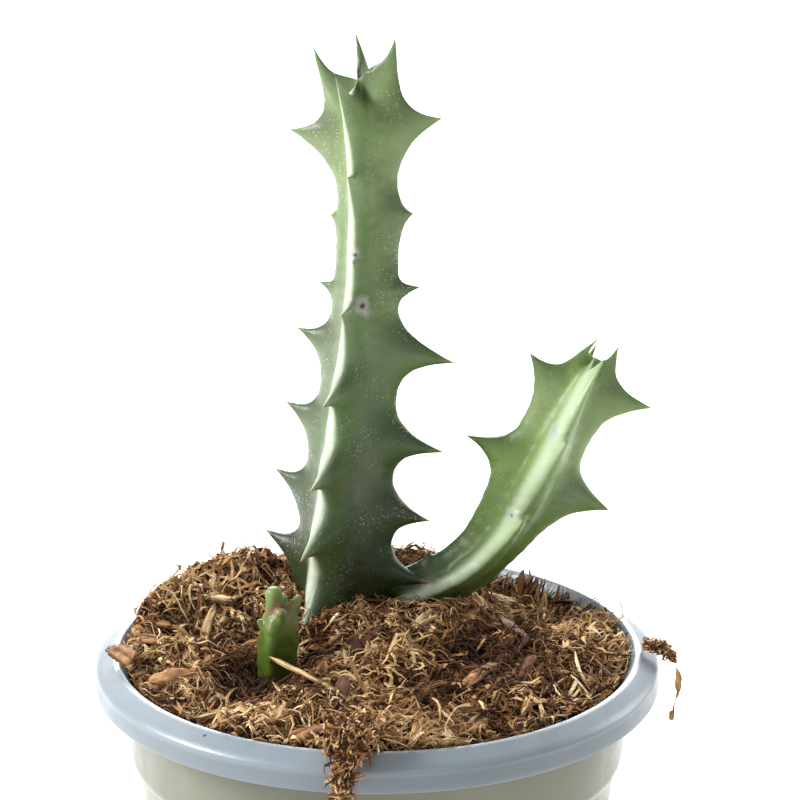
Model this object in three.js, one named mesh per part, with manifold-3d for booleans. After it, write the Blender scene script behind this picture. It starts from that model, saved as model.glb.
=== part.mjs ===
// Potted orbea: a small stapeliad with two toothed stems and a cut stub, in a round nursery pot
// filled to the brim with coir and bark. Millimetres, +Z up. The origin is in the middle of the
// pot's underside, and -Y is the front.
import * as THREE from 'three';
import { mergeVertices } from 'three/addons/utils/BufferGeometryUtils.js';
import Module from 'manifold-3d';

const wasm = await Module();
wasm.setup();

const gap = 0.3;              // air between two pieces that touch on the real plant
const stemGap = 0.8;          // more round a stem, because a tooth's steep side grows less than its tip

const pot = {
  wall: 0.8,
  floor: 1.2,
  baseRadius: 22.2,
  baseEdge: 0.8,              // small bevel under the pot's base
  stepHeight: 44.6,           // where the wall steps out, so that stacked pots don't jam
  stepRadius: 27.7,
  collarRadius: 28.5,         // just above the step
  neckHeight: 55.2,           // where the wall turns out into the rim
  neckRadius: 28.8,
  rimRadius: 32.5,
  creaseHeight: 56.5,         // edge between the rim's sloping top and its skirt
  skirtEnd: 54.0,
  height: 58,
  mouthRadius: 29.6,
  sides: 56,
  drainHoles: 8,
  drainRadius: 2.0,
  drainCircle: 17.2,
};

const soil = {
  bottom: pot.floor + gap,
  level: 56.8,                // height between the mounds
  brinkDrop: 0.4,             // how far the soil dips at the pot's wall
  rings: [0.96, 0.9, 0.82, 0.73, 0.63, 0.52, 0.4, 0.27, 0.14],
  sides: 48,
  // where x, y, spread, height over the level
  mounds: [
    [3, 17, 8, 5.8],
    [-15, 14, 7, 3.2],
    [-19, 18, 7, 1.8],
    [-12, 21, 5, 1.8],
    [-25, 10, 7, 2.8],
    [-5, 6, 8, 3.0],
    [8, 5, 7, 2.0],
    [-1, -8, 11, 1.6],
    [-12, -6, 3.5, -2.2],
    [20, -3, 8, 1.5],
    [-23, -5, 7, 1.4],
    [-4, -24, 9, 1.2],
    [15, -20, 9, 0.9],
    [19, 20, 9, -2.6],
  ],
};

// A stem is a four-ribbed section carried along a Bezier spine. Each tooth is
// { at: share of the length, reach: mm, tilt: degrees up the stem, up, down: mm, spread: degrees }.
// finger is the height of the swelling below a tooth, run its length, and notch is how much lower the
// grooves between the ribs end than the ribs do.
const ribNames = ['right', 'back', 'left', 'front'];

const mainStem = {
  spine: [[-3.9, 12, 50], [-5.16, 11.03, 75.28], [1.8, 11, 96.78], [-1.86, 11, 122.23]],
  girth: [[0, 4.4], [0.144, 5.5], [0.31, 5], [0.465, 4.35], [0.64, 3.5], [0.82, 3.15], [0.94, 3.2], [1, 2.6]],
  turn: [-27, -18],
  ridge: [[0, 0.1], [0.6, 0.1], [0.85, 0.13], [1, 0.3]],
  caps: [3, 1.6],
  notch: 1.6,
  tooth: { up: 4.2, down: 5, spread: 42 },
  right: [
    { at: 0.195, reach: 5.4, tilt: 0 },
    { at: 0.303, reach: 5.1, tilt: 0 },
    { at: 0.424, reach: 6.4, tilt: 0 },
    { at: 0.578, reach: 7.3, tilt: -4, up: 5, down: 6.5 },
    { at: 0.672, reach: 2.9, tilt: 15, up: 1.7, down: 2.6, spread: 25 },
    { at: 0.793, reach: 1.8, tilt: 5, up: 2.6, down: 5 },
    { at: 0.927, reach: 5.5, tilt: 10, down: 6.5 },
    { at: 0.985, reach: 6.5, tilt: 75, up: 3, down: 5.5, spread: 32 },
  ],
  back: [
    { at: 0.247, reach: 5, tilt: 0 },
    { at: 0.361, reach: 5, tilt: 0 },
    { at: 0.495, reach: 5, tilt: 0 },
    { at: 0.618, reach: 3, tilt: 10 },
    { at: 0.732, reach: 1.5, tilt: 15 },
    { at: 0.86, reach: 3, tilt: 15 },
    { at: 0.985, reach: 7.6, tilt: 108, up: 2.6, down: 5, spread: 40 },
  ],
  left: [
    { at: 0.199, reach: 4.9, tilt: 22 },
    { at: 0.308, reach: 4.4, tilt: 22 },
    { at: 0.428, reach: 4.2, tilt: 20 },
    { at: 0.563, reach: 4.2, tilt: 15 },
    { at: 0.657, reach: 2.1, tilt: 15, up: 1.7, down: 2.4, spread: 25 },
    { at: 0.779, reach: 0.9, tilt: 5, up: 2, down: 3 },
    { at: 0.915, reach: 5.2, tilt: 8, down: 8.5 },
    { at: 0.985, reach: 5.9, tilt: 77, up: 2.2, down: 5.5, spread: 32 },
  ],
  front: [
    { at: 0.165, reach: 5.2, tilt: -34, finger: 0.5 },
    { at: 0.274, reach: 5.6, tilt: -15, finger: 0.9 },
    { at: 0.381, reach: 5.4, tilt: -10, finger: 0.9 },
    { at: 0.518, reach: 5, tilt: -10, finger: 1 },
    { at: 0.638, reach: 2.4, tilt: 20, finger: 1.3 },
    { at: 0.726, reach: 0.5, tilt: 0, up: 1.2, down: 1.2, spread: 16, finger: 0.3 },
    { at: 0.854, reach: 1.9, tilt: 45, up: 2.2, down: 5, spread: 24, finger: 1.1, run: 8 },
    { at: 0.972, reach: 5.4, tilt: 62, up: 2.2, down: 8, spread: 28, finger: 0.9, run: 9 },
  ],
};

const sideStem = {
  spine: [[1.2, 9.6, 61.3], [15.8, 8.6, 60.9], [19.2, 7.8, 80.4], [25, 7, 90.6]],
  girth: [[0, 2.5], [0.15, 2.7], [0.35, 3], [0.5, 3.7], [0.62, 4], [0.75, 3.6], [0.85, 2.8], [0.95, 1.8], [1, 1]],
  turn: [-6, 4],
  ridge: [[0, 0.12], [1, 0.16]],
  caps: [2.5, 2],
  notch: 0.8,
  tooth: { up: 3.4, down: 4.2, spread: 42 },
  right: [
    { at: 0.605, reach: 5.3, tilt: -6, up: 3.6, down: 7.5 },
    { at: 0.895, reach: 6.4, tilt: 6, up: 3.2, down: 6.5 },
    { at: 0.96, reach: 4.2, tilt: 92, up: 2.2, down: 5, spread: 28 },
  ],
  back: [
    { at: 0.5, reach: 2, tilt: 10 },
    { at: 0.72, reach: 2.5, tilt: 15 },
    { at: 0.96, reach: 3, tilt: 100, up: 2, down: 7, spread: 36 },
  ],
  left: [
    { at: 0.157, reach: 1.3, tilt: 35, up: 1.6, down: 1.8, spread: 28 },
    { at: 0.645, reach: 5, tilt: -4, up: 3.4, down: 5.6 },
    { at: 0.885, reach: 4.6, tilt: 30, up: 3.2, down: 6 },
    { at: 0.97, reach: 4.1, tilt: 106, up: 1.6, down: 4, spread: 26 },
  ],
  front: [
    { at: 0.5, reach: 0.9, tilt: 75, up: 1.4, down: 3, spread: 20, finger: 1.9, run: 9 },
    { at: 0.77, reach: 0.7, tilt: 60, up: 1.4, down: 2.4, spread: 18, finger: 1.5, run: 7 },
    { at: 0.935, reach: 4.8, tilt: 90, up: 2, down: 10, spread: 34, finger: 2, run: 10 },
  ],
};

const stemStub = {
  spine: [[-11.5, -5.6, 52.5], [-11.5, -5.6, 57], [-11.2, -5.2, 61], [-11.1, -5, 64.8]],
  girth: [[0, 1.9], [0.3, 2.15], [0.7, 2.2], [0.88, 2.05], [1, 1.6]],
  turn: [-20, -20],
  ridge: [[0, 0.1], [1, 0.1]],
  caps: [1.5, 1.0],
  tooth: { up: 1.5, down: 2.2, spread: 40 },
  back: [{ at: 0.75, reach: 0.6, tilt: 20 }],
  left: [{ at: 0.24, reach: 0.6, tilt: -10, up: 0.9, down: 1.4 }],
  front: [{ at: 0.55, reach: 0.3, tilt: 0 }],
  // scarred knobs where it was cut: x, y, z, radius of one end and then of the other
  knobs: [
    [-11.9, -5.5, 64.0, 0.8, -11.7, -5.5, 66.7, 1.0],
    [-10.1, -5, 63.8, 1.1, -8.9, -4.6, 65.9, 0.5],
    [-10.9, -6.2, 63.9, 0.9, -10.9, -6.6, 64.8, 0.65],
    [-12.4, -5.5, 62.4, 0.9, -13.4, -5.5, 63.4, 0.35],
    [-11.0, -4.2, 63.8, 0.9, -10.8, -3.8, 65.4, 0.7],
  ],
};

// Crumbs of wet soil that went over the rim: soft lumps along a short spine, made as a stem
// without teeth. flat squeezes the section across its side direction.
const frontSpill = {
  spine: [[-2.6, -27.4, 60.0], [-2.8, -31.6, 61.2], [-3.6, -34.9, 59.4], [-4.1, -34.6, 52.2]],
  girth: [[0, 2.6], [0.25, 2.9], [0.5, 2.0], [0.75, 1.2], [1, 0.8]],
  turn: [0, 0],
  ridge: [[0, 0.06], [1, 0.06]],
  caps: [1.6, 1.2],
  flat: 0.42,
};

const rimCrumb = {
  spine: [[30.6, -1.5, 58.9], [32, -1.9, 59.2], [33.2, -2.3, 58.8], [34.4, -2.9, 57.2]],
  girth: [[0, 0.7], [0.4, 1.1], [0.8, 0.9], [1, 0.5]],
  side: [0, 1, 0],
  turn: [0, 50],
  ridge: [[0, 0.15], [1, 0.15]],
  caps: [0.8, 0.8],
  flat: 0.62,
};

const hangingFibre = {
  spine: [[34.5, -3.1, 56.7], [35.1, -3.6, 54.6], [34, -3.6, 52.4], [33.9, -3.9, 50.4]],
  girth: [[0, 0.32], [0.6, 0.26], [1, 0.5]],
  turn: [0, 0],
  ridge: [[0, 0], [1, 0]],
  caps: [0.3, 0.4],
  flat: 1,
};

// Pieces of the potting mix big enough to pick out by hand. at: x, y; lift over the soil;
// size: length, width, thickness; yaw, pitch, roll and bend in degrees.
const chips = [
  { name: 'bark_chip_left', at: [-22, -10.4], lift: 0.5, size: [7.2, 2.6, 1.2], turn: [17, -4, 14], bend: 10, colour: '#9a6a3f' },
  { name: 'bark_flake_rim', at: [-29.0, -6.1], lift: 2.2, size: [6.2, 2.4, 0.7], turn: [-64, 5, 22], bend: 18, colour: '#c79f6d' },
  { name: 'bark_sliver_left', at: [-26.1, 4.2], lift: 0.9, size: [5.3, 1.2, 0.6], turn: [-37, 6, 0], bend: 8, colour: '#a77f68' },
  { name: 'bark_curl_left', at: [-25.6, -0.6], lift: 0.8, size: [5.4, 1.6, 0.6], turn: [-30, 0, 20], bend: 50, colour: '#a9825c' },
  { name: 'wood_chip_pale', at: [-19.2, 8.7], lift: 0.8, size: [6.8, 1.7, 0.8], turn: [-47, 10, 0], bend: 0, colour: '#c9a877' },
  { name: 'wood_curl_upright', at: [-19.4, 1.2], lift: 1.9, size: [5.2, 1.2, 0.6], turn: [70, 50, 0], bend: 70, colour: '#c4a57c' },
  { name: 'bark_chip_grooved', at: [-10.5, -21.8], lift: 0.5, size: [7.4, 3.0, 1.2], turn: [50, -6, -12], bend: 8, colour: '#b3875a' },
  { name: 'wood_chip_small', at: [-18.2, -18.6], lift: 0.5, size: [4.2, 1.5, 0.7], turn: [30, 0, 10], bend: 0, colour: '#c2a070' },
  { name: 'bark_chip_orange', at: [-7.6, -26.2], lift: 0.5, size: [4.6, 2.0, 0.8], turn: [38, 4, 8], bend: 12, colour: '#b8763f' },
  { name: 'straw', at: [-8.3, -12.9], lift: 2.5, size: [12, 0.6, 0.5], turn: [-52, 0, 0], bend: -20, colour: '#c9a468' },
  { name: 'bark_leaf_red', at: [-4.0, -17.2], lift: 1.0, size: [6.0, 2.2, 0.6], turn: [73, 12, 18], bend: 20, colour: '#8d4f30' },
  { name: 'husk_pale', at: [-0.2, -25.6], lift: 0.9, size: [6.4, 2.0, 0.6], turn: [80, -8, -14], bend: 26, colour: '#c8ad86' },
  { name: 'wood_curl_front', at: [5.6, -25.6], lift: 0.7, size: [4.2, 1.3, 0.6], turn: [28, 0, 10], bend: 40, colour: '#bf9d70' },
  { name: 'bark_chip_right', at: [16.6, -8.4], lift: 0.6, size: [7.0, 2.2, 0.9], turn: [76, 6, 10], bend: 12, colour: '#8a5732' },
  { name: 'bark_flake_oval', at: [11.6, -10.2], lift: 0.7, size: [6.4, 3.0, 0.8], turn: [58, 6, -14], bend: 18, colour: '#a4714a' },
  { name: 'wood_flake_pale', at: [21.4, 2.4], lift: 0.7, size: [3.0, 1.5, 0.7], turn: [18, 0, 8], bend: 0, colour: '#cdb289' },
  { name: 'bark_chip_front', at: [10.6, -23.8], lift: 0.6, size: [5.6, 1.8, 0.8], turn: [60, 0, 12], bend: 14, colour: '#b18a5c' },
  { name: 'root_fibre', at: [16.0, 2.0], lift: 0.9, size: [10.5, 0.9, 0.7], turn: [-72, 4, 0], bend: 16, colour: '#5d3c26' },
  { name: 'wood_chip_stem', at: [5.6, 2.4], lift: 0.8, size: [4.4, 1.8, 0.8], turn: [50, 8, 10], bend: 8, colour: '#b9935f' },
  { name: 'bark_chip_middle', at: [-1.6, -2.6], lift: 0.8, size: [7.0, 2.4, 0.9], turn: [58, 8, -10], bend: 12, colour: '#7a4f31' },
  { name: 'bark_chip_back_left', at: [-10.5, 21.4], lift: 0.7, size: [6.4, 2.6, 1.0], turn: [12, 4, 12], bend: 10, colour: '#93633c' },
  { name: 'wood_chip_back', at: [14, 19.4], lift: 0.6, size: [6.0, 2.0, 0.8], turn: [-30, 0, 14], bend: 8, colour: '#bf9a68' },
  { name: 'bark_flake_back', at: [2.6, 24.4], lift: 0.7, size: [5.6, 2.4, 0.7], turn: [-8, -8, 8], bend: 18, colour: '#a06c42' },
];

const finish = {
  pot: { color: '#8f9a9c', roughness: 0.45 },
  soil: { color: '#4a3222', roughness: 1 },
  main: { color: '#5c7f58', roughness: 0.55 },
  side: { color: '#557d4b', roughness: 0.5 },
  stub: { color: '#7a9a4e', roughness: 0.5 },
};

function material(values) {
  return new THREE.MeshStandardMaterial({ metalness: 0, roughness: 0.9, ...values });
}

function solidOf(geometry) {
  const bare = geometry.clone();
  bare.deleteAttribute('normal');
  bare.deleteAttribute('uv');
  const merged = mergeVertices(bare, 1e-4);
  return new wasm.Manifold(new wasm.Mesh({
    numProp: 3,
    vertProperties: new Float32Array(merged.attributes.position.array),
    triVerts: new Uint32Array(merged.index.array),
  }));
}

// the largest piece is kept, because a cut can leave crumbs
function geometryOf(solid) {
  const pieces = solid.decompose();
  pieces.sort((a, b) => b.volume() - a.volume());
  const mesh = pieces[0].getMesh();
  const geometry = new THREE.BufferGeometry();
  geometry.setAttribute('position', new THREE.BufferAttribute(new Float32Array(mesh.vertProperties), 3));
  geometry.setIndex(new THREE.BufferAttribute(new Uint32Array(mesh.triVerts), 1));
  geometry.computeVertexNormals();
  return geometry;
}

function addPart(group, name, geometry, look) {
  const mesh = new THREE.Mesh(geometry, material(look));
  mesh.name = name;
  group.add(mesh);
}

// Closed skin over rings of points, all with the same count, with a pole at each end.
function skin(rings, firstPole, lastPole) {
  const count = rings[0].length;
  const points = [firstPole, ...rings.flat(), lastPole];
  const last = points.length - 1;
  const index = [];
  for (let j = 0; j < count; j++) {
    const next = (j + 1) % count;
    index.push(0, 1 + next, 1 + j);
    for (let i = 0; i < rings.length - 1; i++) {
      const low = 1 + i * count;
      const high = low + count;
      index.push(low + j, low + next, high + next);
      index.push(low + j, high + next, high + j);
    }
    const top = 1 + (rings.length - 1) * count;
    index.push(top + j, top + next, last);
  }
  const geometry = new THREE.BufferGeometry();
  const flatPoints = points.flatMap((p) => [p.x, p.y, p.z]);
  geometry.setAttribute('position', new THREE.BufferAttribute(new Float32Array(flatPoints), 3));
  geometry.setIndex(index);
  geometry.computeVertexNormals();
  return geometry;
}

function lookUp(table, x) {
  for (let i = 1; i < table.length; i++) {
    const [x0, y0] = table[i - 1];
    const [x1, y1] = table[i];
    if (x <= x1) {
      return y0 + ((y1 - y0) * (x - x0)) / (x1 - x0);
    }
  }
  return table[table.length - 1][1];
}

function teethOf(plan) {
  const teeth = [];
  ribNames.forEach((name, rib) => {
    for (const tooth of plan[name] ?? []) {
      teeth.push({ finger: 0, run: 7, ...plan.tooth, ...tooth, rib });
    }
  });
  return teeth;
}

// height of a tooth over the rib, 1 at the tip and 0 at its foot
function spike(distance) {
  if (distance >= 1) return 0;
  return 0.5 * (1 - distance) ** 2 + 0.5 * (1 - distance) ** 5;
}

function swingFrom(tooth, column) {
  return THREE.MathUtils.euclideanModulo(column - 90 * tooth.rib + 180, 360) - 180;
}

// height of the swelling below a tooth, which widens downward and ends just above the tip
function fingerOf(tooth, rise, column) {
  const below = Math.max(0, -rise);
  const half = Math.min(40, 10 + 3.2 * below);
  const across = Math.max(0, 1 - (Math.abs(swingFrom(tooth, column)) / half) ** 1.5);
  const fade = rise > 0 ? Math.max(0, 1 - rise / 0.9) : Math.exp(-((below / tooth.run) ** 2));
  return tooth.finger * across * fade;
}

// share of the full girth left inside a rounded end
function dome(distance, length) {
  const share = Math.min(1, distance / length);
  return Math.sqrt(1 - (1 - share) ** 2);
}

// rows along the stem: even steps, and closer ones round each tooth
function rowsOf(teeth, length, steps) {
  const wanted = teeth.map((tooth) => tooth.at);
  for (const tooth of teeth) {
    wanted.push(tooth.at + (0.3 * tooth.up) / length, tooth.at - (0.3 * tooth.down) / length);
  }
  for (let i = 0; i < steps; i++) {
    wanted.push((i + 0.5) / steps);
  }
  wanted.push(0.1 / length, 0.6 / length, 1 - 0.6 / length, 1 - 0.1 / length);
  const rows = [];
  const closest = 0.35 / length;
  for (const row of wanted) {
    if (row > 0 && row < 1 && rows.every((other) => Math.abs(other - row) > closest)) {
      rows.push(row);
    }
  }
  return rows.sort((a, b) => a - b);
}

// columns round the stem, closer to the four ribs than to the grooves
function columnsOf(perRib) {
  const columns = [];
  for (let rib = 0; rib < 4; rib++) {
    for (let k = -perRib; k < perRib; k++) {
      const share = k / perRib;
      columns.push(90 * rib + Math.sign(share) * Math.abs(share) ** 1.6 * 45);
    }
  }
  return columns;
}

// grow makes the stem thicker and toothGrow its teeth longer, for cutting its neighbours clear of it
function stemGeometry(plan, steps, perRib, grow = 0, toothGrow = 0) {
  const curve = new THREE.CubicBezierCurve3(...plan.spine.map((p) => new THREE.Vector3(...p)));
  const length = curve.getLength();
  const teeth = teethOf(plan);
  const columns = columnsOf(perRib);
  const side = new THREE.Vector3(...(plan.side ?? [1, 0, 0]));
  const rings = rowsOf(teeth, length, steps).map((row) => {
    const centre = curve.getPointAt(row);
    const along = curve.getTangentAt(row);
    const across = side.clone().addScaledVector(along, -side.dot(along)).normalize();
    const deep = new THREE.Vector3().crossVectors(along, across);
    const turn = THREE.MathUtils.lerp(plan.turn[0], plan.turn[1], row);
    const low = dome(row * length, plan.caps[0]);
    const girth = lookUp(plan.girth, row);
    const ridge = lookUp(plan.ridge, row);
    return columns.map((column) => {
      const angle = THREE.MathUtils.degToRad(column + turn);
      const wave = Math.cos(THREE.MathUtils.degToRad(4 * column));
      const left = (1 - row) * length - (plan.notch ?? 0) * 0.5 * (1 - wave);
      const full = low * dome(Math.max(0.03, left) + grow, plan.caps[1] + grow);
      let ribbed = (girth * (1 + ridge * wave) + grow) * full;
      for (const tooth of teeth) {
        ribbed += fingerOf(tooth, (row - tooth.at) * length, column) * full;
      }
      const point = centre.clone()
        .addScaledVector(across, ribbed * Math.cos(angle))
        .addScaledVector(deep, ribbed * Math.sin(angle) * (plan.flat ?? 1));
      for (const tooth of teeth) {
        const rise = (row - tooth.at) * length;
        const upDown = rise / (rise > 0 ? tooth.up : tooth.down);
        const swing = swingFrom(tooth, column);
        const height = spike(Math.hypot(upDown, swing / tooth.spread)) * (tooth.reach + toothGrow);
        if (height > 0) {
          const ribAngle = THREE.MathUtils.degToRad(90 * tooth.rib + turn);
          const tilt = THREE.MathUtils.degToRad(tooth.tilt);
          point.addScaledVector(across, height * Math.cos(tilt) * Math.cos(ribAngle))
            .addScaledVector(deep, height * Math.cos(tilt) * Math.sin(ribAngle))
            .addScaledVector(along, height * Math.sin(tilt));
        }
      }
      return point;
    });
  });
  const start = curve.getPointAt(0).addScaledVector(curve.getTangentAt(0), -grow);
  const end = curve.getPointAt(1).addScaledVector(curve.getTangentAt(1), grow);
  return skin(rings, start, end);
}

function ball(x, y, z, radius) {
  return wasm.Manifold.sphere(radius, 16).translate([x, y, z]);
}

function withKnobs(solid, plan, grow = 0) {
  return plan.knobs.reduce((whole, [x, y, z, radius, endX, endY, endZ, endRadius]) => {
    const knob = wasm.Manifold.hull([ball(x, y, z, radius + grow), ball(endX, endY, endZ, endRadius + grow)]);
    return whole.add(knob);
  }, solid);
}

// A tooth that leans down grows clear above by its girth, and below by its length.
function clearOf(plan, steps, perRib) {
  const thicker = solidOf(stemGeometry(plan, steps, perRib, stemGap));
  return thicker.add(solidOf(stemGeometry(plan, steps, perRib, gap, stemGap)));
}

function potGeometry() {
  const outline = [
    [0, 0],
    [pot.baseRadius - pot.baseEdge, 0],
    [pot.baseRadius, pot.baseEdge],
    [pot.stepRadius, pot.stepHeight],
    [pot.collarRadius, pot.stepHeight + 1],
    [pot.neckRadius, pot.neckHeight],
    [pot.rimRadius - pot.wall - 0.4, pot.creaseHeight - 0.9],
    [pot.rimRadius - pot.wall, pot.skirtEnd],
    [pot.rimRadius, pot.skirtEnd],
    [pot.rimRadius + 0.1, pot.skirtEnd + 0.5],
    [pot.rimRadius, pot.creaseHeight],
    [pot.rimRadius - 0.5, pot.creaseHeight + 0.5],
    [pot.mouthRadius + 0.8, pot.height - 0.1],
    [pot.mouthRadius + 0.3, pot.height],
    [pot.mouthRadius, pot.height - 0.2],
    [pot.neckRadius - pot.wall, pot.neckHeight],
    [pot.collarRadius - pot.wall, pot.stepHeight + 1],
    [pot.stepRadius - pot.wall, pot.stepHeight],
    [pot.baseRadius - pot.wall, pot.floor],
    [0, pot.floor],
  ].map(([r, z]) => new THREE.Vector2(r, z));
  let solid = solidOf(new THREE.LatheGeometry(outline, pot.sides).rotateX(Math.PI / 2));
  for (let i = 0; i < pot.drainHoles; i++) {
    const angle = ((i + 0.5) * 2 * Math.PI) / pot.drainHoles;
    const drill = new THREE.CylinderGeometry(pot.drainRadius, pot.drainRadius, 4 * pot.floor, 12);
    drill.rotateX(Math.PI / 2);
    drill.translate(pot.drainCircle * Math.cos(angle), pot.drainCircle * Math.sin(angle), 0);
    solid = solid.subtract(solidOf(drill));
  }
  return geometryOf(solid);
}

function wallInside(z) {
  return lookUp([
    [pot.floor, pot.baseRadius - pot.wall],
    [pot.stepHeight, pot.stepRadius - pot.wall],
    [pot.stepHeight + 1, pot.collarRadius - pot.wall],
    [pot.neckHeight, pot.neckRadius - pot.wall],
    [pot.height, pot.mouthRadius],
  ], z);
}

function soilHeight(x, y) {
  let height = soil.level;
  for (const [moundX, moundY, spread, rise] of soil.mounds) {
    height += rise * Math.exp(-((x - moundX) ** 2 + (y - moundY) ** 2) / spread ** 2);
  }
  return height;
}

function soilGeometry(clear) {
  const ring = (radiusAt, heightAt) => Array.from({ length: soil.sides }, (_, i) => {
    const angle = (i * 2 * Math.PI) / soil.sides;
    const radius = radiusAt(angle);
    const x = radius * Math.cos(angle);
    const y = radius * Math.sin(angle);
    return new THREE.Vector3(x, y, heightAt(x, y));
  });
  const corner = Math.cos(Math.PI / pot.sides);   // the pot's inside is flat between its corners
  const inside = (z) => wallInside(z) * corner - gap;
  const rings = [];
  for (const z of [soil.bottom, pot.stepHeight, pot.stepHeight + 1.3, pot.neckHeight - 2]) {
    rings.push(ring(() => inside(z), () => z));
  }
  const brink = (x, y) => soilHeight(x, y) - soil.brinkDrop;
  const brinkAt = (angle) => brink(pot.neckRadius * Math.cos(angle), pot.neckRadius * Math.sin(angle));
  const edge = (angle) => inside(brinkAt(angle));
  const neck = (x, y) => Math.min(pot.neckHeight, brinkAt(Math.atan2(y, x)) - gap);
  rings.push(ring(() => inside(pot.neckHeight - 1), neck));
  rings.push(ring(edge, (x, y) => brinkAt(Math.atan2(y, x))));
  for (const share of soil.rings) {
    rings.push(ring((angle) => edge(angle) * share, soilHeight));
  }
  const solid = solidOf(skin(
    rings,
    new THREE.Vector3(0, 0, soil.bottom),
    new THREE.Vector3(0, 0, soilHeight(0, 0)),
  ));
  return geometryOf(clear.reduce((rest, tool) => rest.subtract(tool), solid));
}

// A split piece of wood or bark: a lens-shaped slab, pointed at the ends, bent along its length.
function chipGeometry(chip, grow = 0) {
  const [length, width, thickness] = chip.size.map((size) => size + 2 * grow);
  const bend = THREE.MathUtils.degToRad(chip.bend);
  const steps = 6;
  const section = [[1, 0], [0.55, 1], [-0.55, 1], [-1, 0], [-0.55, -1], [0.55, -1]];
  const place = (share, across, up) => {
    const curve = bend === 0 ? 0 : (length / bend) * (Math.cos(bend * (share - 0.5)) - Math.cos(bend / 2));
    return new THREE.Vector3((share - 0.5) * length, across, up + curve);
  };
  const rings = [];
  for (let i = 0; i < steps; i++) {
    const share = (i + 0.4) / (steps - 0.2);
    const full = Math.min(1, 0.35 + 1.5 * Math.sin(Math.PI * share));
    rings.push(section.map(([a, b]) => place(share, (a * full * width) / 2, (b * thickness) / 2)));
  }
  const geometry = skin(rings, place(0, 0, 0), place(1, 0, 0));
  const [yaw, pitch, roll] = chip.turn.map(THREE.MathUtils.degToRad);
  geometry.rotateX(roll).rotateY(-pitch).rotateZ(yaw);
  const [x, y] = chip.at;
  return geometry.translate(x, y, soilHeight(x, y) + chip.lift);
}

const plant = new THREE.Group();

addPart(plant, 'pot', potGeometry(), finish.pot);

const mainClear = clearOf(mainStem, 24, 3);
const sideClear = clearOf(sideStem, 16, 3);
const stubClear = withKnobs(clearOf(stemStub, 10, 2), stemStub, stemGap);
const nests = chips.map((chip) => solidOf(chipGeometry(chip, gap)));

addPart(plant, 'potting_mix', soilGeometry([mainClear, sideClear, stubClear, ...nests]), finish.soil);
addPart(plant, 'main_stem', stemGeometry(mainStem, 24, 3), finish.main);
const sideSolid = solidOf(stemGeometry(sideStem, 16, 3)).subtract(mainClear);
addPart(plant, 'side_stem', geometryOf(sideSolid), finish.side);
const stubSolid = withKnobs(solidOf(stemGeometry(stemStub, 10, 2)), stemStub);
addPart(plant, 'stem_stub', geometryOf(stubSolid), finish.stub);

for (const chip of chips) {
  addPart(plant, chip.name, chipGeometry(chip), { color: chip.colour });
}
addPart(plant, 'spill_clump_front', stemGeometry(frontSpill, 8, 2), finish.soil);
addPart(plant, 'spill_crumb_right', stemGeometry(rimCrumb, 6, 2), finish.soil);
addPart(plant, 'hanging_fibre', stemGeometry(hangingFibre, 8, 1), finish.soil);

export default plant;
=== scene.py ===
import math

import bmesh
import bpy
import numpy as np
from mathutils import Matrix, Vector
from mathutils.bvhtree import BVHTree


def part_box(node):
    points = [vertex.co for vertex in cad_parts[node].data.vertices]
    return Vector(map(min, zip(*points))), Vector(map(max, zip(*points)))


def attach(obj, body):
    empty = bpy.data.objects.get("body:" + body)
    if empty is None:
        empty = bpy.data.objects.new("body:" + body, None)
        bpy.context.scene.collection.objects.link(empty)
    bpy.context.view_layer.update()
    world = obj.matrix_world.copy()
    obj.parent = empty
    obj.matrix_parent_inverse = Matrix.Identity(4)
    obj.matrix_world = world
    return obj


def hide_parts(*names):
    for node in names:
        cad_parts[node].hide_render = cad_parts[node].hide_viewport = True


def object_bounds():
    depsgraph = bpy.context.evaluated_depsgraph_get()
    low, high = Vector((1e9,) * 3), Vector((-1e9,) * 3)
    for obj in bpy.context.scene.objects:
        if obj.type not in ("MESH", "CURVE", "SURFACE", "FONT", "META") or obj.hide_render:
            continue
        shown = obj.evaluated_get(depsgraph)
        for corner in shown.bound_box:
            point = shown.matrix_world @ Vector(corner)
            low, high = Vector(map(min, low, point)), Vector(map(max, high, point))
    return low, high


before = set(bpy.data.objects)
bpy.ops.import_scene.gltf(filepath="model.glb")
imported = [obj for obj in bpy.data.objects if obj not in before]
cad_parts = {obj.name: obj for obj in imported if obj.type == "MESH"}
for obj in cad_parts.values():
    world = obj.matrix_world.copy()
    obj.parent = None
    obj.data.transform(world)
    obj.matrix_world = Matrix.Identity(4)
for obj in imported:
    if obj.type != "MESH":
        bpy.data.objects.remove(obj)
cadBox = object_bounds()
mm = 0.001
print("frame loaded, nodes:", len(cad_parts))


def screen(red, green, blue):
    # 0-255 screen colour as the linear colour that nodes use
    return tuple((c / 255) ** 2.2 for c in (red, green, blue)) + (1.0,)


# small node helpers: a socket given as a value is linked, anything else is set

def addNode(tree, kind, inputs=None, **settings):
    made = tree.nodes.new(kind)
    for key, value in settings.items():
        setattr(made, key, value)
    for key, value in (inputs or {}).items():
        if isinstance(value, bpy.types.NodeSocket):
            tree.links.new(value, made.inputs[key])
        else:
            made.inputs[key].default_value = value
    return made


def newMaterial(name, **shader):
    made = bpy.data.materials.new(name)
    made.use_nodes = True
    tree = made.node_tree
    shade = tree.nodes["Principled BSDF"]
    for key, value in shader.items():
        shade.inputs[key.replace("_", " ")].default_value = value
    return made, tree, shade


def place(tree):
    return addNode(tree, "ShaderNodeTexCoord").outputs["Object"]


def mask(tree, name):
    return addNode(tree, "ShaderNodeAttribute", attribute_name=name).outputs["Fac"]


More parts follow.
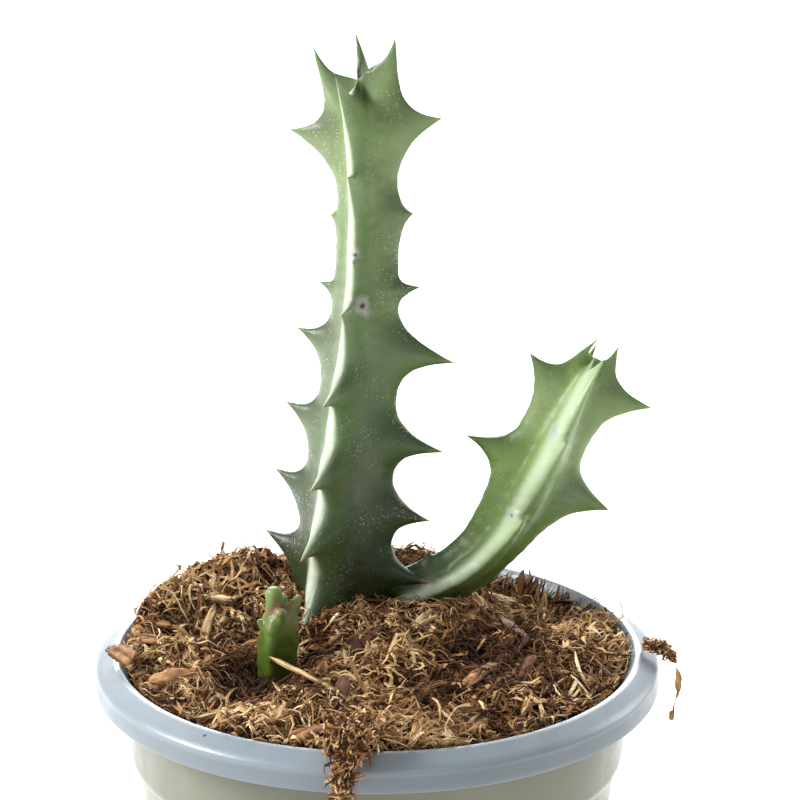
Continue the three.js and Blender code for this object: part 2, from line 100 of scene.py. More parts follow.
def noise(tree, scale, detail=4.0, roughness=0.55, stretch=None, warp=0.0):
    where = place(tree)
    if stretch:
        where = addNode(tree, "ShaderNodeMapping", {"Vector": where, "Scale": stretch}).outputs[0]
    made = addNode(tree, "ShaderNodeTexNoise", {
        "Vector": where, "Scale": scale, "Detail": detail, "Roughness": roughness, "Distortion": warp})
    return made.outputs[0]


def ramp(tree, factor, *stops):
    # stops are (position, colour), or (position, grey)
    made = addNode(tree, "ShaderNodeValToRGB", {"Fac": factor})
    marks = made.color_ramp.elements
    while len(marks) < len(stops):
        marks.new(0.5)
    for mark, (position, tint) in zip(marks, stops):
        mark.position = position
        mark.color = tint if isinstance(tint, tuple) else (tint, tint, tint, 1)
    return made.outputs[0]


def mix(tree, factor, first, second, way="MIX"):
    made = addNode(tree, "ShaderNodeMix", {0: factor, 6: first, 7: second}, data_type="RGBA", blend_type=way)
    return made.outputs[2]


def sums(tree, way, first, second=0.0):
    return addNode(tree, "ShaderNodeMath", {0: first, 1: second}, operation=way).outputs[0]


def rising(tree, value, low, high):
    # 0 up to low, 1 from high on
    return addNode(tree, "ShaderNodeMapRange", {"Value": value, "From Min": low, "From Max": high}).outputs[0]


def bump(tree, shade, height, depth, strength=1.0):
    made = addNode(tree, "ShaderNodeBump", {"Height": height, "Distance": depth, "Strength": strength})
    tree.links.new(made.outputs[0], shade.inputs["Normal"])


# small mesh helpers: points are in millimetres here, and metres in the scene

def newPiece(name, points, faces, material, node=None, masks=None, smooth=True):
    mesh = bpy.data.meshes.new(name)
    faces = faces if isinstance(faces, list) else faces.tolist()
    mesh.from_pydata((np.asarray(points) * mm).tolist(), [], faces)
    for key, values in (masks or {}).items():
        layer = mesh.attributes.new(key, "FLOAT", "POINT")
        layer.data.foreach_set("value", np.asarray(values, np.float32))
    mesh.polygons.foreach_set("use_smooth", [smooth] * len(mesh.polygons))
    mesh.materials.append(material)
    mesh.update()
    piece = bpy.data.objects.new(name, mesh)
    bpy.context.scene.collection.objects.link(piece)
    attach(piece, "root")
    if node:
        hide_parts(*([node] if isinstance(node, str) else node))
    return piece


def ringFaces(rows, columns, start=0):
    # quads between rows of points that close on themselves
    row, column = np.meshgrid(np.arange(rows - 1), np.arange(columns), indexing="ij")
    after = (column + 1) % columns
    low = start + row * columns
    quads = np.stack([low + column, low + after, low + columns + after, low + columns + column], -1)
    return quads.reshape(-1, 4)


def closedSkin(rings):
    # points and faces of a skin over rings of points, closed by a point at each end
    rows, columns = rings.shape[:2]
    points = np.vstack([rings.reshape(-1, 3), rings[:1].mean(1), rings[-1:].mean(1)])
    count = rows * columns
    faces = ringFaces(rows, columns).tolist()
    around = np.arange(columns)
    after = (around + 1) % columns
    faces += np.stack([after, around, np.full(columns, count)], -1).tolist()
    last = count - columns
    faces += np.stack([last + around, last + after, np.full(columns, count + 1)], -1).tolist()
    return points, faces


def corners(node):
    low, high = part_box(node)
    return np.array(low) / mm, np.array(high) / mm


def ripple(points, size, seed, octaves=3):
    # smooth pseudo-noise between about -1 and 1 from a few crossed waves
    draw = np.random.default_rng(seed)
    total = np.zeros(points.shape[:-1])
    for octave in range(octaves):
        for _ in range(5):
            way = draw.normal(size=3)
            way *= 2 * math.pi / (size * np.linalg.norm(way)) * 2 ** octave
            total += np.sin(points @ way + draw.uniform(0, 6.3)) * 0.5 ** octave / 2.4
    return total


# A stem is a four-ribbed section carried along a Bezier spine, in millimetres. at is a tooth's place as a
# share of the length, tilt is in degrees up the stem, and finger is the swelling below the tooth.

def tooth(at, reach, tilt, **shape):
    return {"at": at, "reach": reach, "tilt": tilt, "finger": 0, "run": 7, **shape}


mainPlan = {
    "spine": [(-3.9, 12, 50), (-5.16, 11.03, 75.28), (1.8, 11, 96.78), (-1.86, 11, 122.23)],
    "girth": [(0, 4.4), (0.144, 5.5), (0.31, 5), (0.465, 4.35), (0.64, 3.5), (0.82, 3.15), (0.94, 3.2),
              (1, 2.6)],
    "turn": (-27, -18),
    "ridge": [(0, 0.1), (0.6, 0.1), (0.85, 0.13), (1, 0.3)],
    "caps": (3, 1.6),
    "notch": 1.6,
    "up": 4.2, "down": 5, "spread": 42,
    "crest": 0.16,              # height of the line down each rib
    "rows": 260,
    "perRib": 11,
    "right": [
        tooth(0.195, 5.4, 0), tooth(0.303, 5.1, 0), tooth(0.424, 6.4, 0),
        tooth(0.578, 7.3, -4, up=5, down=6.5), tooth(0.672, 2.9, 15, up=1.7, down=2.6, spread=25),
        tooth(0.793, 1.8, 5, up=2.6, down=5), tooth(0.927, 5.5, 10, down=6.5),
        tooth(0.985, 6.5, 75, up=3, down=5.5, spread=32),
    ],
    "back": [
        tooth(0.247, 5, 0), tooth(0.361, 5, 0), tooth(0.495, 5, 0), tooth(0.618, 3, 10),
        tooth(0.732, 1.5, 15), tooth(0.86, 3, 15), tooth(0.985, 7.6, 108, up=2.6, down=5, spread=40),
    ],
    "left": [
        tooth(0.199, 4.9, 22), tooth(0.308, 4.4, 22), tooth(0.428, 4.2, 20), tooth(0.563, 4.2, 15),
        tooth(0.657, 2.1, 15, up=1.7, down=2.4, spread=25), tooth(0.779, 0.9, 5, up=2, down=3),
        tooth(0.915, 5.2, 8, down=8.5), tooth(0.985, 5.9, 77, up=2.2, down=5.5, spread=32),
    ],
    "front": [
        tooth(0.165, 5.2, -34, finger=0.5), tooth(0.274, 5.6, -15, finger=0.9),
        tooth(0.381, 5.4, -10, finger=0.9), tooth(0.518, 5, -10, finger=1),
        tooth(0.638, 2.4, 20, finger=1.3), tooth(0.726, 0.5, 0, up=1.2, down=1.2, spread=16, finger=0.3),
        tooth(0.854, 1.9, 45, up=2.2, down=5, spread=24, finger=1.1, run=8),
        tooth(0.972, 5.4, 62, up=2.2, down=8, spread=28, finger=0.9, run=9),
    ],
}

sidePlan = {
    "spine": [(1.2, 9.6, 61.3), (15.8, 8.6, 60.9), (19.2, 7.8, 80.4), (25, 7, 90.6)],
    "girth": [(0, 2.5), (0.15, 2.7), (0.35, 3), (0.5, 3.7), (0.62, 4), (0.75, 3.6), (0.85, 2.8), (0.95, 1.8),
              (1, 1)],
    "turn": (-6, 4),
    "ridge": [(0, 0.12), (1, 0.16)],
    "caps": (2.5, 2),
    "notch": 0.8,
    "up": 3.4, "down": 4.2, "spread": 42,
    "crest": 0.12,
    "rows": 190,
    "perRib": 10,
    "right": [
        tooth(0.605, 5.3, -6, up=3.6, down=7.5), tooth(0.895, 6.4, 6, up=3.2, down=6.5),
        tooth(0.96, 4.2, 92, up=2.2, down=5, spread=28),
    ],
    "back": [
        tooth(0.5, 2, 10), tooth(0.72, 2.5, 15), tooth(0.96, 3, 100, up=2, down=7, spread=36),
    ],
    "left": [
        tooth(0.157, 1.3, 35, up=1.6, down=1.8, spread=28), tooth(0.645, 5, -4, up=3.4, down=5.6),
        tooth(0.885, 4.6, 30, up=3.2, down=6), tooth(0.97, 4.1, 106, up=1.6, down=4, spread=26),
    ],
    "front": [
        tooth(0.5, 0.9, 75, up=1.4, down=3, spread=20, finger=1.9, run=9),
        tooth(0.77, 0.7, 60, up=1.4, down=2.4, spread=18, finger=1.5, run=7),
        tooth(0.935, 4.8, 90, up=2, down=10, spread=34, finger=2, run=10),
    ],
}

stubPlan = {
    "spine": [(-11.5, -5.6, 52.5), (-11.5, -5.6, 57), (-11.2, -5.2, 61), (-11.1, -5, 64.8)],
    "girth": [(0, 1.9), (0.3, 2.15), (0.7, 2.2), (0.88, 2.05), (1, 1.6)],
    "turn": (-20, -20),
    "ridge": [(0, 0.1), (1, 0.1)],
    "caps": (1.5, 1),
    "notch": 0,
    "up": 1.5, "down": 2.2, "spread": 40,
    "crest": 0.05,
    "rows": 90,
    "perRib": 9,
    # scarred knobs where it was cut: x, y, z and radius of one end, then of the other
    "knobs": [
        (-11.9, -5.5, 64.0, 0.8, -11.7, -5.5, 66.7, 1.0),
        (-10.1, -5, 63.8, 1.1, -8.9, -4.6, 65.9, 0.5),
        (-10.9, -6.2, 63.9, 0.9, -10.9, -6.6, 64.8, 0.65),
        (-12.4, -5.5, 62.4, 0.9, -13.4, -5.5, 63.4, 0.35),
        (-11.0, -4.2, 63.8, 0.9, -10.8, -3.8, 65.4, 0.7),
    ],
    "right": [],
    "back": [tooth(0.75, 0.6, 20)],
    "left": [tooth(0.24, 0.6, -10, up=0.9, down=1.4)],
    "front": [tooth(0.55, 0.3, 0)],
}

ribNames = ("right", "back", "left", "front")


def spineOf(points, count=400):
    # even samples of a Bezier: where along it, centre, direction, and its length
    a, b, c, d = (np.array(p, float) for p in points)
    t = np.linspace(0, 1, count)[:, None]
    centres = a * (1 - t) ** 3 + 3 * b * (1 - t) ** 2 * t + 3 * c * (1 - t) * t * t + d * t ** 3
    ways = 3 * (b - a) * (1 - t) ** 2 + 6 * (c - b) * (1 - t) * t + 3 * (d - c) * t * t
    ways /= np.linalg.norm(ways, axis=1)[:, None]
    run = np.concatenate([[0], np.cumsum(np.linalg.norm(np.diff(centres, axis=0), axis=1))])
    return run / run[-1], centres, ways, run[-1]


def teethOf(plan):
    usual = {key: plan[key] for key in ("up", "down", "spread")}
    return [{**usual, **one, "rib": rib} for rib, name in enumerate(ribNames) for one in plan[name]]


def spike(distance):
    # height of a tooth over its rib, 1 at the tip and 0 at its foot
    near = np.clip(1 - distance, 0, 1)
    return 0.5 * near ** 2 + 0.5 * near ** 5


def dome(distance, length):
    # share of the full girth left inside a rounded end
    return np.sqrt(1 - (1 - np.clip(distance / length, 0, 1)) ** 2)


def fingerOf(one, rise, swing):
    # swelling below a tooth, which widens downward and ends just above the tip
    below = np.clip(-rise, 0, None)
    half = np.minimum(40, 10 + 3.2 * below)
    across = np.clip(1 - (np.abs(swing) / half) ** 1.5, 0, 1)
    return across * np.where(rise > 0, np.clip(1 - rise / 0.9, 0, 1), np.exp(-(below / one["run"]) ** 2))


def growStem(plan):
    # points, faces and masks of a stem
    share, centres, ways, length = spineOf(plan["spine"])
    teeth = teethOf(plan)
    rows = [np.linspace(0.0015, 0.9985, plan["rows"])]
    for one in teeth:
        rows.append(one["at"] + np.array([-0.5, -0.22, -0.1, -0.04, 0, 0.04, 0.1, 0.22, 0.5]) / length)
    rows = np.unique(np.round(np.concatenate(rows), 5))
    rows = rows[(rows > 0) & (rows < 1)]
    part = np.linspace(-1, 1, 2 * plan["perRib"] + 1)[:-1]
    offsets = np.sign(part) * np.abs(part) ** 1.6 * 45
    around = np.concatenate([90 * rib + offsets for rib in range(4)])[None, :]

    centre = np.stack([np.interp(rows, share, centres[:, k]) for k in range(3)], -1)[:, None, :]
    along = np.stack([np.interp(rows, share, ways[:, k]) for k in range(3)], -1)
    along /= np.linalg.norm(along, axis=1)[:, None]
    across = np.array((1.0, 0, 0)) - along[:, :1] * along
    across /= np.linalg.norm(across, axis=1)[:, None]
    deep = np.cross(along, across)[:, None, :]
    along, across = along[:, None, :], across[:, None, :]

    at = rows[:, None]
    turn = plan["turn"][0] + (plan["turn"][1] - plan["turn"][0]) * at
    wave = np.cos(np.radians(4 * around))
    left = np.clip((1 - at) * length - plan["notch"] * 0.5 * (1 - wave), 0.03, None)
    full = dome(at * length, plan["caps"][0]) * dome(left, plan["caps"][1])
    girth = np.interp(rows, *zip(*plan["girth"]))[:, None]
    ridge = np.interp(rows, *zip(*plan["ridge"]))[:, None]
    fromRib = (around + 45) % 90 - 45
    crest = plan["crest"] * (np.exp(-(fromRib / 6) ** 2) - 0.2)
    radius = girth * (1 + ridge * wave) + crest
    lift = np.zeros((len(rows), around.size, 3))
    masks = {key: np.zeros(lift.shape[:2]) for key in ("tip", "axil", "fresh", "bloom")}
    for one in teeth:
        rise = (at - one["at"]) * length
        swing = (around - 90 * one["rib"] + 180) % 360 - 180
        finger = fingerOf(one, rise, swing)
        radius = radius + one["finger"] * finger
        distance = np.hypot(rise / np.where(rise > 0, one["up"], one["down"]), swing / one["spread"])
        height = spike(distance) * one["reach"]
        rib, lean = np.radians(90 * one["rib"] + turn)[..., None], math.radians(one["tilt"])
        out = np.cos(rib) * across + np.sin(rib) * deep
        lift += height[..., None] * (out * math.cos(lean) + along * math.sin(lean))
        if one["reach"] > 0.8:
            masks["tip"] = np.maximum(masks["tip"], np.clip(1 - distance / 0.12, 0, 1))
        # painted shade: darkens the crease just above each tooth, more for the larger teeth
        dark = np.exp(-((rise - 1.6) / 2.0) ** 2 - (swing / 34) ** 2) * min(1, one["reach"] / 3)
        masks["axil"] = np.maximum(masks["axil"], dark)
        # painted glow: a vivid green wedge beside the swelling below each tooth, in place of light shining
        # through the flesh
        beside = np.exp(-((swing - 13 + 0.4 * np.minimum(rise, 0)) / 13) ** 2)
        masks["fresh"] = np.maximum(masks["fresh"], finger ** 0.5 * beside * (one["finger"] > 0))
    angle = np.radians(around + turn)
    points = centre + (radius * full * np.cos(angle))[..., None] * across
    points = points + (radius * full * np.sin(angle))[..., None] * deep + lift

    relief = ripple(points, 6.0, 11) * 0.09 + ripple(points, 1.6, 12, 2) * 0.02
    outward = points - centre
    outward /= np.maximum(np.linalg.norm(outward, axis=2), 1e-6)[..., None]
    points = points + outward * (relief * full * (1 - masks["tip"]))[..., None]

    # a pale band just left of the front rib: partly the rib's waxy bloom, partly a painted highlight where
    # the flank faces the light
    fromFront = (around - 270 + 180) % 360 - 180
    masks["bloom"] = np.broadcast_to(np.exp(-((fromFront + 12) / 11) ** 2), full.shape)
    masks["along"] = np.broadcast_to(at, full.shape)
    masks["rib"] = np.broadcast_to(np.exp(-(fromRib / 7) ** 2), full.shape)
    points, faces = closedSkin(points)
    for key, values in masks.items():       # a value for each end point too
        masks[key] = np.append(values.ravel(), [values[0].mean(), values[-1].mean()])
    return points, faces, masks


def hangFrom(points, node):
    # moves points so that their foot is as low as the node's, and they reach as far right and back
    low, high = corners(node)
    shift = high - points.max(0)
    shift[2] = low[2] - points[:, 2].min()
    print(node, "moved by", shift.round(2))
    return points + shift


# healed marks on the stems, in millimetres: x, y, z, radius
mainMarks = [(-2.6, 7.0, 103.2, 1.0), (-1.6, 6.8, 97.2, 1.5), (-0.6, 6.8, 96.2, 1.2)]
sideMarks = [(14.6, 4.2, 73.4, 0.9), (20.4, 3.6, 83.2, 1.3), (15.2, 3.9, 72.8, 0.9)]


def near(tree, x, y, z, radius):
    # 1 at a spot on the surface, 0 beyond its radius, with an uneven edge
    spot = (x * mm, y * mm, z * mm)
    away = addNode(tree, "ShaderNodeVectorMath", {0: place(tree), 1: spot}, operation="DISTANCE")
    share = sums(tree, "DIVIDE", away.outputs["Value"], radius * mm)
    rough = sums(tree, "ADD", share, sums(tree, "MULTIPLY", noise(tree, 1500, 3), 0.8))
    return ramp(tree, sums(tree, "MULTIPLY", rough, 0.5), (0.45, 1.0), (0.7, 0.0))


def stemSkin(name, base, middle, top, dark, fresh, tip, marks, bloom=0.6, speckle=0.6):
    made, tree, shade = newMaterial(name, Roughness=0.42, Specular_IOR_Level=0.4, Subsurface_Weight=0.1,
                                    Subsurface_Radius=(0.5, 1.0, 0.25), Subsurface_Scale=0.0012,
                                    Coat_Weight=0.08, Coat_Roughness=0.4)
    skin = ramp(tree, mask(tree, "along"), (0.12, base), (0.42, middle), (0.9, top))
    blotch = ramp(tree, noise(tree, 150, 4, 0.55, (1, 1, 0.6), 0.5), (0.42, 0.0), (0.72, 0.42))
    skin = mix(tree, blotch, skin, dark)
    # grey, waxy film on the faces between the ribs
    between = sums(tree, "SUBTRACT", 1.0, mask(tree, "rib"))
    film = ramp(tree, noise(tree, 110, 3, 0.5, (1, 1, 0.4), 0.3), (0.46, 0.0), (0.7, 0.4))
    skin = mix(tree, sums(tree, "MULTIPLY", film, between), skin, screen(122, 124, 112))
    # painted shade in the crease above each tooth
    skin = mix(tree, sums(tree, "MULTIPLY", mask(tree, "axil"), 0.62), skin, dark)
    # painted glow below each front tooth, standing in for light shining through the flesh
    skin = mix(tree, sums(tree, "MULTIPLY", mask(tree, "fresh"), 0.7), skin, fresh)
    # pale band beside the front rib: partly waxy bloom, partly painted highlight
    skin = mix(tree, sums(tree, "MULTIPLY", mask(tree, "bloom"), bloom), skin, screen(196, 208, 184))
    # tiny pale breathing pores
    pores = addNode(tree, "ShaderNodeTexVoronoi", {"Vector": place(tree), "Scale": 2600, "Randomness": 1.0})
    dots = ramp(tree, pores.outputs["Distance"], (0.12, 1.0), (0.26, 0.0))
    patchy = ramp(tree, noise(tree, 260, 3), (0.46, 0.0), (0.62, 1.0))
    dots = sums(tree, "MULTIPLY", sums(tree, "MULTIPLY", dots, patchy), speckle)
    skin = mix(tree, dots, skin, screen(196, 204, 186))
    for x, y, z, radius in marks:
        healed = sums(tree, "MULTIPLY", near(tree, x, y, z, radius), 0.75)
        skin = mix(tree, healed, skin, screen(150, 152, 146))
        skin = mix(tree, near(tree, x + 0.2, y, z - 0.1, radius * 0.35), skin, screen(58, 44, 34))
    low = sums(tree, "SUBTRACT", 1.05, mask(tree, "along"))
    tips = sums(tree, "MULTIPLY", ramp(tree, mask(tree, "tip"), (0.25, 0.0), (0.8, 1.0)), low)
    skin = mix(tree, tips, skin, tip)
    tree.links.new(skin, shade.inputs["Base Color"])
    sheen = ramp(tree, noise(tree, 500, 4), (0.3, 0.36), (0.7, 0.52))
    tree.links.new(sheen, shade.inputs["Roughness"])
    grain = sums(tree, "ADD", noise(tree, 1700, 4), sums(tree, "MULTIPLY", noise(tree, 330, 3), 1.5))
    bump(tree, shade, grain, 0.0001, 0.6)
    return made


def stubSkin():
    made, tree, shade = newMaterial("stubSkin", Roughness=0.4, Specular_IOR_Level=0.4, Subsurface_Weight=0.15,
                                    Subsurface_Radius=(0.6, 1.0, 0.2), Subsurface_Scale=0.0012)
    height = addNode(tree, "ShaderNodeSeparateXYZ", {"Vector": place(tree)}).outputs["Z"]
    up = rising(tree, height, 54 * mm, 67.5 * mm)
    skin = ramp(tree, up, (0.0, screen(36, 42, 8)), (0.3, screen(62, 74, 16)), (0.6, screen(80, 100, 38)),
                (1.0, screen(112, 134, 74)))
    blotch = ramp(tree, noise(tree, 420, 4, 0.6), (0.5, 0.0), (0.68, 0.55))
    skin = mix(tree, blotch, skin, screen(46, 66, 24))
    # pink-brown scars where it was cut
    scar = ramp(tree, noise(tree, 480, 3, 0.5, None, 0.6), (0.48, 0.0), (0.62, 1.0))
    high = ramp(tree, up, (0.6, 0.0), (0.72, 0.75), (0.86, 0.75), (0.93, 0.1))
    skin = mix(tree, sums(tree, "MULTIPLY", scar, high), skin, screen(146, 104, 88))
    spots = addNode(tree, "ShaderNodeTexVoronoi", {"Vector": place(tree), "Scale": 420, "Randomness": 1.0})
    skin = mix(tree, ramp(tree, spots.outputs["Distance"], (0.1, 0.7), (0.2, 0.0)), skin, screen(58, 34, 22))
    tree.links.new(skin, shade.inputs["Base Color"])
    bump(tree, shade, noise(tree, 1400, 4), 0.00012, 0.7)
    return made


mainSkin = stemSkin("mainStemSkin", screen(24, 34, 16), screen(72, 94, 50), screen(116, 138, 84),
                    screen(26, 40, 20), screen(78, 112, 46), screen(150, 112, 60), mainMarks, bloom=0.8)
sideSkin = stemSkin("sideStemSkin", screen(36, 56, 16), screen(96, 122, 58), screen(118, 142, 80),
                    screen(42, 64, 28), screen(88, 124, 48), screen(104, 92, 46), sideMarks, bloom=0.55,
                    speckle=0.3)


def stubPiece():
    # body and knobs are joined into one skin; the work is done large, because voxels can't be tiny
    points, faces, _ = growStem(stubPlan)
    body = bpy.data.meshes.new("stub")
    body.from_pydata(points.tolist(), [], faces)
    joined = bmesh.new()
    joined.from_mesh(body)
    for knob in stubPlan["knobs"]:
        for share in np.linspace(0, 1, 7):
            x, y, z, radius = np.array(knob[:4]) * (1 - share) + np.array(knob[4:]) * share
            spot = Matrix.Translation((x, y, z))
            bmesh.ops.create_icosphere(joined, subdivisions=3, radius=radius, matrix=spot)
    joined.to_mesh(body)
    joined.free()
    piece = bpy.data.objects.new("stub", body)
    bpy.context.scene.collection.objects.link(piece)
    voxels = piece.modifiers.new("one skin", "REMESH")
    voxels.mode = "VOXEL"
    voxels.voxel_size = 0.16
    soften = piece.modifiers.new("soften", "SMOOTH")
    soften.factor = 0.5
    soften.iterations = 9
    settle(piece)
    points = np.array([v.co for v in piece.data.vertices])
    faces = [list(face.vertices) for face in piece.data.polygons]
    bpy.data.objects.remove(piece)
    points = points + ripple(points, 2.2, 14, 2)[:, None] * 0.04
    newPiece("stem_stub_skin", points, faces, stubSkin(), "stem_stub")


def settle(piece):
    # applies a piece's modifiers to its mesh
    solid = bpy.data.meshes.new_from_object(piece.evaluated_get(bpy.context.evaluated_depsgraph_get()))
    piece.modifiers.clear()
    piece.data = solid


for name, plan, skin in (("main_stem", mainPlan, mainSkin), ("side_stem", sidePlan, sideSkin)):
    points, faces, masks = growStem(plan)
    newPiece(name + "_skin", hangFrom(points, name), faces, skin, name, masks)
stubPiece()
print("stems grown")

potPlan = {
    "wall": 0.8,
    "floor": 1.2,
    "baseRadius": 22.2,
    "stepHeight": 44.6,
    "stepRadius": 27.7,
    "collarRadius": 28.5,
    "neckHeight": 55.2,
    "neckRadius": 28.8,
    "skirtEnd": 54.0,           # lowest edge of the turned-down rim
    "creaseHeight": 56.5,       # edge between the rim's top and its skirt
    "mouthRadius": 29.6,
    "round": 0.28,              # radius of the moulded edges
    "segments": 200,
    "drainHoles": 8,
    "drainRadius": 2.0,
    "drainCircle": 17.2,
    "rimTop": [(28.0, 55.3), (29.6, 57.9), (29.9, 58.1), (31.8, 57.3), (32.4, 56.7)],      # radius, height
}


def rounded(outline, radii, steps=5):
    # outline with its corners rounded
    made = []
    for i, ((x, z), radius) in enumerate(zip(outline, radii)):
        here = np.array([x, z], float)
        if radius == 0 or i in (0, len(outline) - 1):
            made.append(here)
            continue
        before = np.array(outline[i - 1], float) - here
        after = np.array(outline[i + 1], float) - here
        cut = min(radius, np.linalg.norm(before) * 0.45, np.linalg.norm(after) * 0.45)
        start = here + before / np.linalg.norm(before) * cut
        end = here + after / np.linalg.norm(after) * cut
        for t in np.linspace(0, 1, steps):
            made.append(start * (1 - t) ** 2 + 2 * here * (1 - t) * t + end * t * t)
    return np.array(made)


def potPiece():
    p = potPlan
    high = corners("pot")[1]
    rim = high[0] - 0.1
    top = high[2]
    edge = p["round"]
    outline = [
        (0, 0), (p["baseRadius"] - 0.8, 0), (p["baseRadius"], 0.8),
        (p["stepRadius"], p["stepHeight"]), (p["collarRadius"], p["stepHeight"] + 1),
        (p["neckRadius"], p["neckHeight"] - 2.2), (p["neckRadius"] + 0.5, p["neckHeight"] - 1.9),
        (p["neckRadius"] + 0.5, p["neckHeight"]), (rim - p["wall"] - 0.4, p["creaseHeight"] - 0.9),
        (rim - p["wall"], p["skirtEnd"]), (rim, p["skirtEnd"]), (rim + 0.08, p["skirtEnd"] + 0.5),
        (rim, p["creaseHeight"]), (rim - 0.5, p["creaseHeight"] + 0.5),
        (p["mouthRadius"] + 0.8, top - 0.1), (p["mouthRadius"] + 0.3, top), (p["mouthRadius"], top - 0.3),
        (p["neckRadius"] - p["wall"], p["neckHeight"]), (p["collarRadius"] - p["wall"], p["stepHeight"] + 1),
        (p["stepRadius"] - p["wall"], p["stepHeight"]), (p["baseRadius"] - p["wall"], p["floor"]),
        (0, p["floor"]),
    ]
    radii = [0, 0.5, 0.8, 0.6, 0.6, 0.25, 0.2, 0.2, edge, 0.2, edge, edge, edge, 0.5, 0.5, 0.3, 0.3,
             0.8, 0.6, 0.6, 0.5, 0]
    line = rounded(outline, radii)[1:-1]
    turn = np.linspace(0, 2 * math.pi, p["segments"], endpoint=False)
    rings = np.stack([line[:, None, 0] * np.cos(turn), line[:, None, 0] * np.sin(turn),
                      np.broadcast_to(line[:, None, 1], (len(line), len(turn)))], -1)
    points, faces = closedSkin(rings)
    piece = newPiece("pot_shell", points, faces, potPlastic(), "pot")
    drills = []
    for i in range(p["drainHoles"]):
        angle = (i + 0.5) * 2 * math.pi / p["drainHoles"]
        bpy.ops.mesh.primitive_cylinder_add(
            vertices=40, radius=p["drainRadius"] * mm, depth=6 * mm,
            location=(p["drainCircle"] * math.cos(angle) * mm, p["drainCircle"] * math.sin(angle) * mm, 0))
        drills.append(bpy.context.object)
    for drill in drills:
        cut = piece.modifiers.new("drain", "BOOLEAN")
        cut.operation = "DIFFERENCE"
        cut.object = drill
        cut.solver = "EXACT"
    settle(piece)
    for drill in drills:
        bpy.data.objects.remove(drill)
    return piece


def potPlastic():
    made, tree, shade = newMaterial("potPlastic", Roughness=0.34, Specular_IOR_Level=0.5,
                                    Subsurface_Weight=0.2, Subsurface_Radius=(1.0, 1.0, 0.9),
                                    Subsurface_Scale=0.0015)
    height = addNode(tree, "ShaderNodeSeparateXYZ", {"Vector": place(tree)}).outputs["Z"]
    # the body is thin enough for the damp mix behind it to show through
    body = ramp(tree, noise(tree, 45, 3, 0.5, (1, 1, 0.35)), (0.3, screen(84, 87, 71)),
                (0.7, screen(106, 109, 91)))
    rimTint = ramp(tree, noise(tree, 60, 3), (0.3, screen(124, 134, 142)), (0.7, screen(132, 141, 148)))
    isRim = rising(tree, height, 53.4 * mm, 54 * mm)
    isTop = rising(tree, height, 55.8 * mm, 56.6 * mm)
    # painted shade: the rim's turned-down skirt is the rim's own plastic darkened, for a face turned away
    # from the light
    skirtShade = mix(tree, 0.45, rimTint, screen(66, 74, 78))
    plastic = mix(tree, isRim, body, mix(tree, isTop, skirtShade, rimTint))
    specks = addNode(tree, "ShaderNodeTexVoronoi", {"Vector": place(tree), "Scale": 300, "Randomness": 1.0})
    fleck = ramp(tree, specks.outputs["Distance"], (0.05, 1.0), (0.09, 0.0))
    rare = ramp(tree, noise(tree, 90, 2), (0.54, 0.0), (0.58, 1.0))
    plastic = mix(tree, sums(tree, "MULTIPLY", fleck, rare), plastic, screen(52, 40, 30))
    dust = ramp(tree, noise(tree, 150, 6, 0.7), (0.58, 0.0), (0.78, 0.3))
    plastic = mix(tree, dust, plastic, screen(110, 102, 86))
    tree.links.new(plastic, shade.inputs["Base Color"])
    haze = ramp(tree, noise(tree, 420, 5), (0.3, 0.28), (0.75, 0.44))
    tree.links.new(haze, shade.inputs["Roughness"])
    bump(tree, shade, noise(tree, 900, 5), 0.00003, 0.6)
    return made


potPiece()
print("pot moulded")


mixPlan = {
    "grid": 0.5,                # spacing of the height samples
    "edge": 28.7,               # the mix ends at the pot's wall
    "lumps": 0.5,
    "crumbs": 4600,
    "fuzz": 8200,
    "fibres": 4300,
    "shreds": 2500,
    "threads": 1500,
    "splinters": 1000,
    "litter": 1500,
}
# damp hollows, where the mix is dark: x, y, spread, strength
damp = [(12, -6, 8, 0.9), (3, -13, 5, 0.35), (-14.5, -7.5, 5, 1.0), (-9, -13, 4, 0.7), (17, 3, 5, 0.6),
        (-12.5, 20, 3, 0.8), (-13, 8, 5, 0.4), (6, -20, 5, 0.5)]
# drifts of dry, pale fibre: x, y, spread
dryHeaps = [(-3.5, -26.5, 2.2), (1, -25, 2.5), (6, -26, 1.8), (-0.5, -15, 2.6), (-24, -3, 2.6),
            (-17, 12, 3.2), (-22, 9, 2.8), (24, 3, 2.4), (-12, -22, 2.4), (9, 8, 2.2), (3, -6, 2.4)]


def dampness(x, y):
    wet = sum(strong * np.exp(-((x - a) ** 2 + (y - b) ** 2) / wide ** 2) for a, b, wide, strong in damp)
    flat = np.stack([x, y, np.zeros_like(x)], -1)
    return np.clip(wet + 0.25 * ripple(flat, 7.0, 33, 2), 0, 1)


def sampleHeights():
    # the top of the CAD mix on a grid, with the nests of stems and chips filled in
    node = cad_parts["potting_mix"]
    tree = BVHTree.FromObject(node, bpy.context.evaluated_depsgraph_get())
    low, high = corners("potting_mix")
    count = int((high[0] - low[0]) / mixPlan["grid"]) + 1
    xs = np.linspace(low[0], high[0], count)
    ys = np.linspace(low[1], high[1], count)
    heights = np.full((count, count), np.nan)
    steep = math.cos(math.radians(38))
    for i, x in enumerate(xs):
        for j, y in enumerate(ys):
            hit, normal, _, _ = tree.ray_cast(Vector((x * mm, y * mm, 0.2)), Vector((0, 0, -1)))
            if hit is not None and hit.z / mm > 52.5 and abs(normal.z) > steep:
                heights[i, j] = hit.z / mm
    known = ~np.isnan(heights)
    heights[~known] = np.nanmean(heights)
    for _ in range(260):
        around = sum(np.roll(heights, step, axis) for step in (1, -1) for axis in (0, 1)) / 4
        heights = np.where(known, heights, around)
    for _ in range(4):          # softens the facets of the CAD solid
        around = sum(np.roll(heights, step, axis) for step in (1, -1) for axis in (0, 1)) / 4
        heights = (heights + around) / 2
    return xs, ys, heights


gridX, gridY, gridHeight = sampleHeights()


